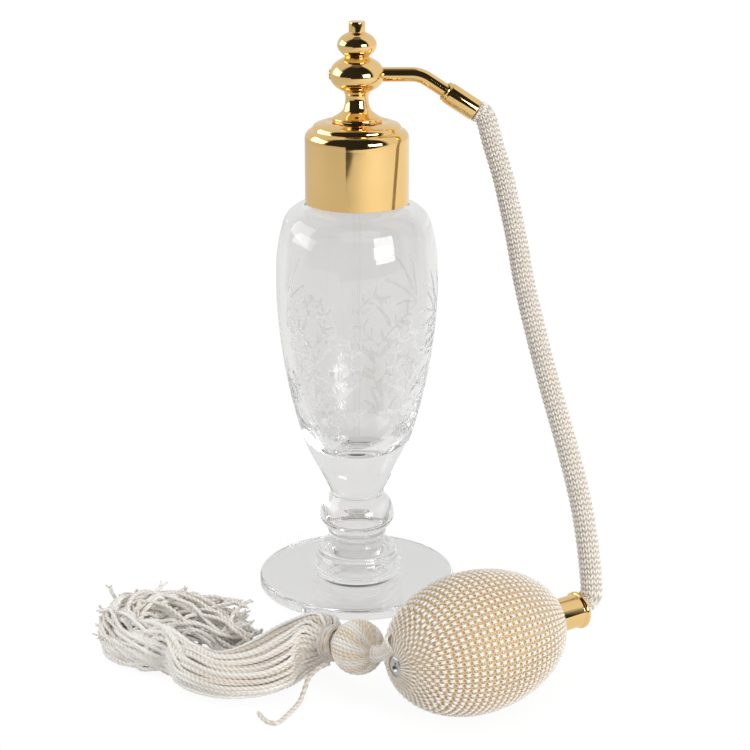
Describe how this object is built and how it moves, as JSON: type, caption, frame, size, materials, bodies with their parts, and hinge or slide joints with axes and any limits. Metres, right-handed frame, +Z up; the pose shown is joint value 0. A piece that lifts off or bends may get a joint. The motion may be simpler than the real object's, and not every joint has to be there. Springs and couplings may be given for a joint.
{
  "type": "perfume bottle",
  "caption": "Footed clear glass perfume bottle with a gilt screw collar and spray head, fed through a knitted hose by a netted rubber squeeze bulb with a tassel.",
  "frame": {"origin": "middle of the foot's flat underside, on the bottle's axis", "axes": "+Z up along the bottle's axis; -X is the way the nozzle sprays and +X the way the air arm leaves; the bulb lies towards -Y"},
  "size_m": [0.1485, 0.1373, 0.175],
  "materials": {
    "glass": "clear polished glass with fine cut sprays",
    "gilt": "polished gold plate",
    "brass": "plain turned brass",
    "steel": "dull nickel plate",
    "seal": "soft pale washer",
    "clear_plastic": "clear flexible tube",
    "rubber": "tan moulded rubber",
    "knit": "ivory lustrous knit",
    "cord": "ivory twisted cord"
  },
  "bodies": {
    "bottle": {"glass_bottle": "glass", "neck_ring": "brass"},
    "gasket": {"neck_gasket": "seal"},
    "head": {"stem_plate": "brass", "dip_tube": "clear_plastic", "feed_tube": "brass", "spray_head": "gilt", "finial_cap": "gilt", "spray_nozzle": "gilt", "air_arm": "gilt", "arm_ferrule": "gilt", "air_hose": "knit", "bulb_ferrule": "gilt", "hose_nipple": "brass", "rubber_bulb_lower": "rubber", "bulb_net": "knit", "intake_valve_body": "steel", "valve_retainer": "steel"},
    "collar": {"screw_collar": "gilt", "collar_liner": "brass"},
    "bulb_press": {"rubber_bulb_upper": "rubber"},
    "valve_ball": {"intake_valve_ball": "steel"},
    "tassel": {"tassel_neck": "knit", "tassel_head": "knit", "tassel_binding": "cord", "tassel_skirt": "cord", "tassel_tail": "cord"}
  },
  "joints": [
    {"name": "head_lift", "type": "slide", "parent": "bottle", "child": "gasket", "axis": [0, 0, 1], "range_m": [0, 0.1]},
    {"name": "thread_rise", "type": "slide", "parent": "gasket", "child": "head", "axis": [0, 0, 1], "range_m": [0, 0.004]},
    {"name": "collar_turn", "type": "hinge", "parent": "head", "child": "collar", "pos_m": [0, 0, 0.132], "axis": [0, 0, 1], "range_deg": [0, 720]},
    {"name": "bulb_squeeze", "type": "slide", "parent": "head", "child": "bulb_press", "axis": [0, 0, -1], "range_m": [0, 0.01], "stiffness_N_per_m": 600, "deforming": ["rubber_bulb_upper", "bulb_net"]},
    {"name": "intake_valve", "type": "slide", "parent": "head", "child": "valve_ball", "axis": [0.829, 0.5592, 0], "range_m": [0, 0.0008]},
    {"name": "tassel_swing", "type": "hinge", "parent": "head", "child": "tassel", "pos_m": [0.00477, -0.09377, 0.0195], "axis": [0.9531, 0.3026, 0], "range_deg": [0, 60]}
  ],
  "couplings": [
    {"joint": "thread_rise", "follows": "collar_turn", "m_per_rad": 0.0003183}
  ]
}
